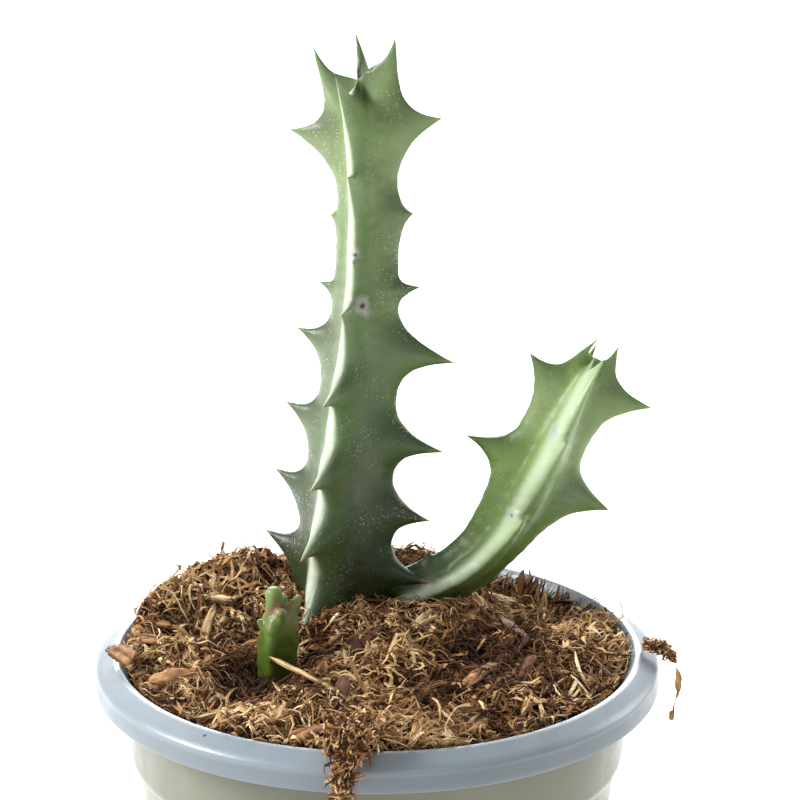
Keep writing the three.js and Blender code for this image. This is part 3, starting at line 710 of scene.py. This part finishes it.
def ground(x, y):
    # height of the mix, between the grid's samples
    across = np.clip((np.asarray(x) - gridX[0]) / (gridX[1] - gridX[0]), 0, len(gridX) - 1.001)
    deep = np.clip((np.asarray(y) - gridY[0]) / (gridY[1] - gridY[0]), 0, len(gridY) - 1.001)
    i, j = across.astype(int), deep.astype(int)
    u, v = across - i, deep - j
    low = gridHeight[i, j] * (1 - u) + gridHeight[i + 1, j] * u
    high = gridHeight[i, j + 1] * (1 - u) + gridHeight[i + 1, j + 1] * u
    return low * (1 - v) + high * v + lumps(np.asarray(x), np.asarray(y))


def surface(x, y):
    # the mix, or the pot's rim where the litter lies over it
    x, y = np.asarray(x, float), np.asarray(y, float)
    reach = np.hypot(x, y)
    inner = np.minimum(1, mixPlan["edge"] / np.maximum(reach, 1e-6))
    rimTop = np.interp(reach, *zip(*potPlan["rimTop"]))
    return np.where(reach > mixPlan["edge"], np.maximum(rimTop + 0.12, ground(x * inner, y * inner) - 1.2),
                    np.maximum(ground(x, y), np.where(reach > 28, rimTop + 0.1, 0)))


def lumps(x, y):
    flat = np.stack([x, y, np.zeros_like(x)], -1)
    return mixPlan["lumps"] * (ripple(flat, 9.0, 31, 2) + 0.8 * ripple(flat, 3.2, 32, 2))


def earth(name, *tints, rough=0.92, grain=900.0):
    # crumbly or fibrous brown; each crumb's own tone picks its tint
    made, tree, shade = newMaterial(name, Roughness=rough, Specular_IOR_Level=0.25)
    tone = mask(tree, "tone")
    stops = [(i / (len(tints) - 1), tint) for i, tint in enumerate(tints)]
    tint = ramp(tree, tone, *stops)
    streak = ramp(tree, noise(tree, grain, 5, 0.65), (0.3, 0.55), (0.7, 1.25))
    tint = mix(tree, 1.0, tint, streak, "MULTIPLY")
    tree.links.new(tint, shade.inputs["Base Color"])
    bump(tree, shade, noise(tree, grain * 2, 5, 0.7), 0.00012, 0.9)
    return made


crumbTint = earth("coirCrumbs", screen(26, 16, 10), screen(62, 41, 27),
                  screen(110, 80, 55), screen(164, 134, 98), grain=1300)
fibreTint = earth("coirFibre", screen(36, 22, 13), screen(96, 64, 41),
                  screen(162, 122, 82), screen(228, 200, 156), grain=700)
shredTint = earth("barkShred", screen(42, 25, 15), screen(104, 68, 42),
                  screen(168, 124, 80), screen(222, 188, 140), grain=800)
paleTint = earth("paleWood", screen(146, 108, 68), screen(192, 156, 108), screen(224, 194, 148),
                 screen(240, 222, 184), rough=0.8, grain=700)
# the bed under the litter is nearly black: partly damp mix, partly painted shade for the deep gaps between
# the fibres
bedTint = earth("dampBedShade", screen(18, 11, 7), screen(34, 22, 14), grain=1100)


def mixBed():
    turns, rings = 220, 100
    turn = np.linspace(0, 2 * math.pi, turns, endpoint=False)
    radius = mixPlan["edge"] * np.sqrt(np.linspace(1, 0.0004, rings))
    x = radius[:, None] * np.cos(turn)
    y = radius[:, None] * np.sin(turn)
    top = np.stack([x, y, ground(x, y) - 0.3], -1)
    top[..., 2] += 0.25 * ripple(top, 1.3, 41, 2) * (radius[:, None] < mixPlan["edge"] - 0.4)
    top[0, :, 2] = np.maximum(top[0, :, 2], 56.55)
    p = potPlan
    inside = [(p["baseRadius"] - p["wall"] - 0.3, corners("potting_mix")[0][2]),
              (p["stepRadius"] - p["wall"] - 0.3, p["stepHeight"]),
              (p["collarRadius"] - p["wall"] - 0.3, p["stepHeight"] + 1.4),
              (p["neckRadius"] - p["wall"] - 0.25, p["neckHeight"] - 0.2)]
    under = [np.stack([r * np.cos(turn), r * np.sin(turn), np.full(turns, z)], -1) for r, z in inside]
    points, faces = closedSkin(np.concatenate([np.array(under), top]))
    tone = 0.5 + 0.5 * ripple(points, 2.5, 42)
    newPiece("potting_mix_bed", points, faces, bedTint, "potting_mix", {"tone": tone})


def scatterSpots(count, edge, draw, clump=0.0, dry=0.0, heaps=None):
    # x, y spots spread evenly over the mix, gathered in drifts by clump, kept off damp hollows by dry;
    # or only round heaps, given as (x, y, spread)
    spots = np.empty((0, 2))
    if heaps:
        pick = draw.integers(0, len(heaps), count)
        x, y, spread = np.array(heaps).T[:, pick]
        return np.c_[x + draw.normal(0, 1, count) * spread, y + draw.normal(0, 1, count) * spread]
    while len(spots) < count:
        tries = draw.uniform(-edge, edge, (count * 2, 2))
        tries = tries[np.hypot(*tries.T) < edge]
        drift = 0.5 + 0.5 * ripple(np.c_[tries, np.zeros(len(tries))], 12.0, 51, 2)
        kept = (1 - clump * (1 - drift)) * (1 - dry * dampness(*tries.T))
        spots = np.vstack([spots, tries[draw.uniform(0, 1, len(tries)) < kept]])
    return spots[:count]


def strands(spots, draw, length, width, thick, bend, arch, lift, sections=6, sides=4, wiggle=0.15, stand=0.0,
            edge=29.4):
    # many curved slivers lying on the mix. length, width and thick are (least, most);
    # bend turns them in plan, arch lifts their middle, stand tips them up, in degrees
    count = len(spots)
    s = np.linspace(-0.5, 0.5, sections)
    long = draw.uniform(*length, count)[:, None]
    turn = draw.uniform(0, 2 * math.pi, count)[:, None]
    curve = np.radians(draw.normal(0, bend, count))[:, None]
    heading = turn + curve * s * 2 + wiggle * np.sin(s * 9 + draw.uniform(0, 6.3, count)[:, None])
    step = long / (sections - 1)
    x = np.cumsum(np.cos(heading) * step, 1)
    y = np.cumsum(np.sin(heading) * step, 1)
    x += spots[:, :1] - x.mean(1, keepdims=True)
    y += spots[:, 1:] - y.mean(1, keepdims=True)
    reach = np.hypot(x, y)
    inside = np.minimum(1, edge / np.maximum(reach, 1e-6))
    x, y = x * inside, y * inside
    rise = 0
    if stand:
        rise = np.tan(np.radians(np.abs(draw.normal(0, stand, count))))[:, None] * (s + 0.5) * long
    z = surface(x, y) + draw.uniform(*lift, count)[:, None]
    z += draw.uniform(0, arch, count)[:, None] * (1 - (2 * s) ** 2) + rise
    return sweep(np.stack([x, y, z], -1), draw, width, thick, sides)


def sweep(path, draw, width, thick, sides=4, roll=35.0, taper=0.75):
    # points and faces of slivers along many paths, shaped (count, sections, 3)
    count, sections = path.shape[:2]
    s = np.linspace(-0.5, 0.5, sections)
    along = np.gradient(path, axis=1)
    along /= np.maximum(np.linalg.norm(along, axis=2, keepdims=True), 1e-9)
    across = np.cross(along, (0, 0, 1.0))
    across /= np.maximum(np.linalg.norm(across, axis=2, keepdims=True), 1e-6)
    upward = np.cross(across, along)
    rolled = np.radians(draw.normal(0, roll, count))[:, None] + draw.normal(0, 0.5, count)[:, None] * s
    a = across * np.cos(rolled)[..., None] + upward * np.sin(rolled)[..., None]
    b = upward * np.cos(rolled)[..., None] - across * np.sin(rolled)[..., None]
    wide = draw.uniform(*width, count)[:, None] / 2
    deep = draw.uniform(*thick, count)[:, None] / 2
    full = (1 - taper * np.abs(2 * s) ** 3) * (1 + 0.22 * draw.normal(size=(count, sections)).clip(-1.5, 1.5))
    full = full.clip(0.12, None)
    corner = np.arange(sides) * 2 * math.pi / sides + math.pi / sides
    ringA = np.cos(corner) * 1.25
    ringB = np.sin(corner) * 1.25
    points = path[:, :, None, :] + a[:, :, None, :] * ((wide * full)[..., None] * ringA)[..., None]
    points = points + b[:, :, None, :] * ((deep * full)[..., None] * ringB)[..., None]
    size = sections * sides
    quads = ringFaces(sections, sides)
    cap = np.arange(sides)
    ends = [cap[::-1], cap + size - sides]
    every = (np.arange(count) * size)[:, None, None]
    faces = (quads[None] + every).reshape(-1, 4).tolist()
    for end in ends:
        faces += (end[None] + every[:, 0]).tolist()
    return points.reshape(-1, 3), faces, size


def toneOf(spots, size, draw, low=0.0, high=1.0, power=1.0):
    # tone of each sliver: random, and darker in the damp hollows
    tone = low + (high - low) * draw.uniform(0, 1, len(spots)) ** power
    return np.repeat(tone * (1 - 0.78 * dampness(spots[:, 0], spots[:, 1])), size)


def scattered(name, count, material, slot, seed, tone=(0, 1, 1.0), clump=0.0, dry=0.0, heaps=None, **shape):
    draw = np.random.default_rng(seed)
    spots = scatterSpots(count, 28.6, draw, clump, dry, heaps)
    points, faces, size = strands(spots, draw, **shape)
    tones = toneOf(spots, size, draw, *tone)
    newPiece(name, points, faces, material, None, {"tone": tones}, smooth=False)


def crumbPiece(name, count, seed):
    # small irregular lumps
    draw = np.random.default_rng(seed)
    golden = (1 + 5 ** 0.5) / 2
    base = np.array([(-1, golden, 0), (1, golden, 0), (-1, -golden, 0), (1, -golden, 0), (0, -1, golden),
                     (0, 1, golden), (0, -1, -golden), (0, 1, -golden), (golden, 0, -1), (golden, 0, 1),
                     (-golden, 0, -1), (-golden, 0, 1)], float)
    base /= np.linalg.norm(base[0])
    sides = np.array([(0, 11, 5), (0, 5, 1), (0, 1, 7), (0, 7, 10), (0, 10, 11), (1, 5, 9), (5, 11, 4),
                      (11, 10, 2), (10, 7, 6), (7, 1, 8), (3, 9, 4), (3, 4, 2), (3, 2, 6), (3, 6, 8),
                      (3, 8, 9), (4, 9, 5), (2, 4, 11), (6, 2, 10), (8, 6, 7), (9, 8, 1)])
    spots = scatterSpots(count, 28.4, draw, 0.3)
    size = 0.14 + 0.5 * draw.uniform(0, 1, count) ** 2.8
    stretch = draw.uniform(0.55, 1.35, (count, 1, 3))
    lump = base[None] * stretch * (1 + 0.3 * draw.normal(size=(count, 12, 1)).clip(-1.6, 1.6))
    turn = draw.uniform(0, 2 * math.pi, count)
    cos, sin = np.cos(turn)[:, None], np.sin(turn)[:, None]
    x = lump[..., 0] * cos - lump[..., 1] * sin
    y = lump[..., 0] * sin + lump[..., 1] * cos
    points = np.stack([x, y, lump[..., 2]], -1) * size[:, None, None]
    points[..., 0] += spots[:, :1]
    points[..., 1] += spots[:, 1:]
    points[..., 2] += (surface(spots[:, 0], spots[:, 1]) + draw.uniform(-0.2, 0.3, count))[:, None]
    faces = (sides[None] + (np.arange(count) * 12)[:, None, None]).reshape(-1, 3)
    newPiece(name, points.reshape(-1, 3), faces, crumbTint, None,
             {"tone": toneOf(spots, 12, draw, 0, 1, 1.5)}, smooth=False)


mixBed()
crumbPiece("mix_crumbs", mixPlan["crumbs"], 61)
scattered("mix_fuzz", mixPlan["fuzz"], fibreTint, "potting_mix", 66, tone=(0, 0.9, 1.5), clump=0.2,
          length=(0.7, 2.6), width=(0.07, 0.2), thick=(0.06, 0.14), bend=60, arch=0.5, lift=(-0.25, 0.5),
          sections=4, sides=3, wiggle=0.3, stand=18)
scattered("mix_fibres", mixPlan["fibres"], fibreTint, "potting_mix", 62, tone=(0, 1, 1.3), clump=0.25,
          length=(1.8, 5.5), width=(0.10, 0.24), thick=(0.08, 0.16), bend=70, arch=0.9, lift=(-0.2, 0.55),
          sections=6, sides=3, wiggle=0.3)
scattered("mix_shreds", mixPlan["shreds"], shredTint, "bark_tan", 63, tone=(0, 1, 1.4), clump=0.5, dry=0.5,
          length=(1.4, 4.4), width=(0.25, 0.8), thick=(0.1, 0.26), bend=30, arch=0.6, lift=(-0.25, 0.45),
          sections=5, sides=4, wiggle=0.15, stand=9)
scattered("mix_splinters", mixPlan["splinters"], paleTint, "wood_pale", 64, tone=(0, 1, 1.3), clump=0.7,
          dry=0.9, length=(1.0, 3.8), width=(0.15, 0.6), thick=(0.1, 0.22), bend=20, arch=0.4,
          lift=(0.0, 0.5), sections=5, sides=4, wiggle=0.1, stand=10)
scattered("mix_threads", mixPlan["threads"], fibreTint, "potting_mix", 65, tone=(0.25, 1, 0.9), clump=0.1,
          length=(3.0, 8.0), width=(0.05, 0.12), thick=(0.05, 0.1), bend=120, arch=1.5, lift=(0.0, 0.7),
          sections=8, sides=3, wiggle=0.35)
scattered("dry_litter", mixPlan["litter"], paleTint, "wood_pale", 67, tone=(0, 0.85, 1.4), heaps=dryHeaps,
          length=(1.2, 4.6), width=(0.08, 0.5), thick=(0.06, 0.18), bend=60, arch=0.9, lift=(0.0, 0.9),
          sections=6, sides=3, wiggle=0.3, stand=14)
print("potting mix filled")


def axesOf(node):
    # centre, axes and half sizes of a chip node, longest axis first
    verts = np.array([v.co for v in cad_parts[node].data.vertices]) / mm
    centre = (verts.min(0) + verts.max(0)) / 2
    _, _, axes = np.linalg.svd(verts - verts.mean(0), full_matrices=False)
    if np.linalg.det(axes) < 0:
        axes[2] *= -1
    local = (verts - centre) @ axes.T
    middle = (local.max(0) + local.min(0)) / 2
    half = (local.max(0) - local.min(0)) / 2
    bow = np.polyfit(local[:, 0] / half[0], local[:, 2], 2)[0]
    return centre + middle @ axes, axes, half, bow


def chipPiece(node, seed):
    # a split chip: grooved along its grain, ragged at its ends
    centre, axes, half, bow = axesOf(node)
    if node == "straw":         # thinner than the CAD's solid
        half = half * (1, 0.62, 0.62)
    s = np.linspace(-1, 1, 34)
    around = np.linspace(0, 2 * math.pi, 32, endpoint=False)
    full = np.clip(1 - np.abs(s) ** 5, 0.05, 1) ** 0.5
    full *= 1 + 0.09 * ripple(np.c_[s * 3, s * 0, s * 0], 1.6, seed + 1)
    cos, sin = np.cos(around), np.sin(around)
    wide = np.sign(cos) * np.abs(cos) ** 0.55
    deep = np.sign(sin) * np.abs(sin) ** 0.75
    ragged = 0.09 * half[0] * ripple(np.c_[wide * 3, deep, deep * 0], 0.9, seed + 2, 2)
    x = s[:, None] * half[0] + ragged[None] * np.abs(s[:, None]) ** 4
    y = full[:, None] * wide[None] * half[1]
    groove = ripple(np.stack([x * 0.1, y * 1.6, np.zeros_like(x)], -1), 0.8, seed + 3, 3)
    thick = max(half[2] - abs(bow) * 0.5, 0.16)
    z = full[:, None] ** 0.5 * deep[None] * thick * (1 + 0.4 * groove)
    z += bow * (s[:, None] ** 2 - 0.5) + 0.2 * half[1] * np.sin(s[:, None] * 1.6 + seed) * wide[None]
    points, faces = closedSkin(np.stack([x, y, z], -1) @ axes + centre)
    edge = np.abs(wide[None]) ** 6 * 0.3 + np.abs(s[:, None]) ** 6 * 0.3
    tone = np.append((0.52 + 0.55 * groove - edge).ravel(), [0.2, 0.2]).clip(0, 1)
    newPiece(node + "_split", points, faces, chipTint(node), node, {"tone": tone})


def chipTint(node):
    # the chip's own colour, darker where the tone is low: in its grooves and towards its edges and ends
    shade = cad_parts[node].data.materials[0].node_tree.nodes["Principled BSDF"]
    red, green, blue = list(shade.inputs["Base Color"].default_value)[:3]
    return earth(node + "Tint", (red * 0.2, green * 0.17, blue * 0.15, 1),
                 (red * 0.6, green * 0.56, blue * 0.5, 1), (red, green, blue, 1),
                 (min(1, red * 1.2), green * 1.2, blue * 1.25, 1), rough=0.75, grain=700)


notChips = ("pot", "potting_mix", "main_stem", "side_stem", "stem_stub", "spill_clump_front",
            "spill_crumb_right", "hanging_fibre")
for seed, node in enumerate(sorted(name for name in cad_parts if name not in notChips)):
    chipPiece(node, 200 + 7 * seed)
print("chips split")


frontSpill = {
    "spine": [(-2.6, -27.4, 60.0), (-2.8, -31.6, 61.2), (-3.6, -34.9, 59.4), (-4.1, -34.6, 52.2)],
    "spread": [(0, 2.0), (0.35, 1.9), (0.6, 1.0), (0.8, 0.6), (1, 0.4)],
    "lie": (1.0, 0.55, 0.55),   # how the spread is squeezed across, in depth and in height
    "slivers": 1300,
}
rimCrumb = {
    "spine": [(30.6, -1.5, 58.9), (32, -1.9, 59.2), (33.2, -2.3, 58.8), (34.4, -2.9, 57.2)],
    "spread": [(0, 0.5), (0.5, 0.45), (1, 0.25)],
    "lie": (1.0, 1.0, 0.6),
    "slivers": 220,
}
hangingFibre = {
    "spine": [(34.5, -3.1, 56.7), (35.1, -3.6, 54.6), (34, -3.6, 52.4), (33.9, -3.9, 50.4)],
    "samples": 60,
    # slivers along it: first and last sample, offset, width
    "slivers": [(0, 26, -0.1, 0.7), (4, 34, 0.12, 0.55), (0, 59, 0.0, 0.1),
                (44, 59, 0.1, 0.5), (47, 59, -0.12, 0.6), (50, 59, 0, 0.7)],
}


def clumpPiece(name, node, plan, seed):
    # crumbs and slivers matted together along a short spine, inside the node's own box
    draw = np.random.default_rng(seed)
    low, high = corners(node)
    _, centres, ways, _ = spineOf(plan["spine"])
    share = draw.uniform(0.02, 0.98, plan["slivers"]) ** 1.25
    pick = (share * (len(centres) - 1)).astype(int)
    spread = np.interp(share, *zip(*plan["spread"]))[:, None] * np.array(plan["lie"])
    middle = centres[pick] + draw.normal(0, 1, (len(pick), 3)) * spread * 0.8
    sections = 5
    s = np.linspace(-0.5, 0.5, sections)
    way = ways[pick] * 0.8 + draw.normal(0, 0.75, (len(pick), 3))
    way /= np.linalg.norm(way, axis=1)[:, None]
    long = draw.uniform(0.6, 2.4, len(pick))
    path = middle[:, None] + way[:, None] * (long[:, None] * s)[..., None]
    path = path + draw.normal(0, 0.12, path.shape)
    path = np.clip(path, low + 0.1, high - 0.1)
    path = clearOfRim(path)
    points, faces, size = sweep(path, draw, (0.09, 0.42), (0.08, 0.2), 4, roll=90)
    points = np.clip(points, low - 0.15, high + 0.15)
    newPiece(name, points, faces, shredTint, node,
             {"tone": np.repeat(draw.uniform(0, 1, len(pick)) ** 1.1, size)}, smooth=False)


def clearOfRim(path):
    # lifts points out of the rim's plastic
    reach = np.hypot(path[..., 0], path[..., 1])
    rim = corners("pot")[1][0]
    top = np.interp(reach, [potPlan["mouthRadius"], rim - 0.5, rim], [58.2, 57.2, 56.7])
    over = (reach > potPlan["mouthRadius"] - 0.4) & (reach < rim) & (path[..., 2] > 55.5)
    lifted = path.copy()
    lifted[..., 2] = np.where(over, np.maximum(path[..., 2], top + 0.1), path[..., 2])
    beside = (reach > potPlan["mouthRadius"]) & (reach < rim + 0.1) & (path[..., 2] <= 55.5)
    lifted[..., :2] *= np.where(beside, (rim + 0.2) / np.maximum(reach, 1), 1)[..., None]
    return lifted


def hangingPiece():
    # a torn sliver of bark on a thread, with a crumb at its end
    draw = np.random.default_rng(91)
    samples = hangingFibre["samples"]
    _, centres, _, _ = spineOf(hangingFibre["spine"], samples)
    points, faces = [], []
    for start, end, offset, width in hangingFibre["slivers"]:
        pick = np.linspace(start, end, 12)
        path = np.stack([np.interp(pick, np.arange(samples), centres[:, k]) for k in range(3)], -1)
        path = path + (offset, offset * 0.6, 0)
        more, quads, size = sweep(path[None], draw, (width, width), (0.1, 0.16), 4, roll=20, taper=0.9)
        faces += [[len(points) * size + k for k in face] for face in quads]
        points.append(more)
    low, high = corners("hanging_fibre")
    points = np.clip(np.vstack(points), low - 0.1, high + 0.1)
    newPiece("hanging_sliver", points, faces, shredTint, "hanging_fibre",
             {"tone": np.full(len(points), 0.72)}, smooth=False)


clumpPiece("front_spill", "spill_clump_front", frontSpill, 81)
clumpPiece("right_crumb", "spill_crumb_right", rimCrumb, 82)
hangingPiece()
print("clumps spilled")


studio = {
    "floor": screen(252, 252, 252),
    # x, y, z, size, watts
    "key": (-0.8, -0.1, 0.55, 0.45, 15.0),
    "backdrop": (0.0, 1.25, 0.75, 1.3, 42.0),
    "rightEdge": (0.8, 0.45, 0.45, 0.6, 6.0),
    "front": (0.2, -0.9, 0.75, 0.5, 1.6),
    "sky": 0.36,
}
camera = {
    "distance": 0.45,           # from the middle of the rim
    "elevation": 22.2,          # of the camera, seen from the rim
    "pitch": 18.38,             # how far it looks down
    "yaw": 0.365,               # how far it looks to the right
    "lens": 174.7,
}


def addLight(name, x, y, z, size, power, aim):
    lamp = bpy.data.lights.new(name, "AREA")
    lamp.shape = "DISK"
    lamp.size = size
    lamp.energy = power
    made = bpy.data.objects.new(name, lamp)
    bpy.context.scene.collection.objects.link(made)
    made.location = (x, y, z)
    made.rotation_mode = "QUATERNION"
    made.rotation_quaternion = (Vector(aim) - made.location).to_track_quat("-Z", "Y")


def setStudio():
    made, tree, shade = newMaterial("paleFloor", Roughness=0.9, Specular_IOR_Level=0.1)
    shadeOfFloor = ramp(tree, noise(tree, 3, 2), (0.0, studio["floor"]), (1.0, studio["floor"]))
    tree.links.new(shadeOfFloor, shade.inputs["Base Color"])
    bpy.ops.mesh.primitive_plane_add(size=8)
    floor = bpy.context.object
    floor.name = "floor"
    floor.location.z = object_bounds()[0].z - 0.00005
    floor.data.materials.append(made)
    middle = (cadBox[0] + cadBox[1]) / 2
    for name in ("key", "backdrop", "rightEdge", "front"):
        addLight(name, *studio[name], middle)
    world = bpy.data.worlds.new("sky")
    bpy.context.scene.world = world
    world.use_nodes = True
    sky = world.node_tree.nodes["Background"]
    sky.inputs["Color"].default_value = (1, 1, 1, 1)
    sky.inputs["Strength"].default_value = studio["sky"]
    bpy.context.scene.view_settings.view_transform = "Standard"


def setCamera():
    lens = bpy.data.cameras.new("camera")
    lens.lens = camera["lens"]
    lens.sensor_width = 36
    lens.clip_start = 0.01
    lens.clip_end = 20
    made = bpy.data.objects.new("camera", lens)
    bpy.context.scene.collection.objects.link(made)
    tilt = math.radians(camera["elevation"])
    rim = potPlan["creaseHeight"] * mm
    made.location = (0, -camera["distance"] * math.cos(tilt), rim + camera["distance"] * math.sin(tilt))
    made.rotation_euler = (math.radians(90 - camera["pitch"]), 0, -math.radians(camera["yaw"]))
    bpy.context.scene.camera = made


setStudio()
setCamera()
bpy.context.view_layer.update()
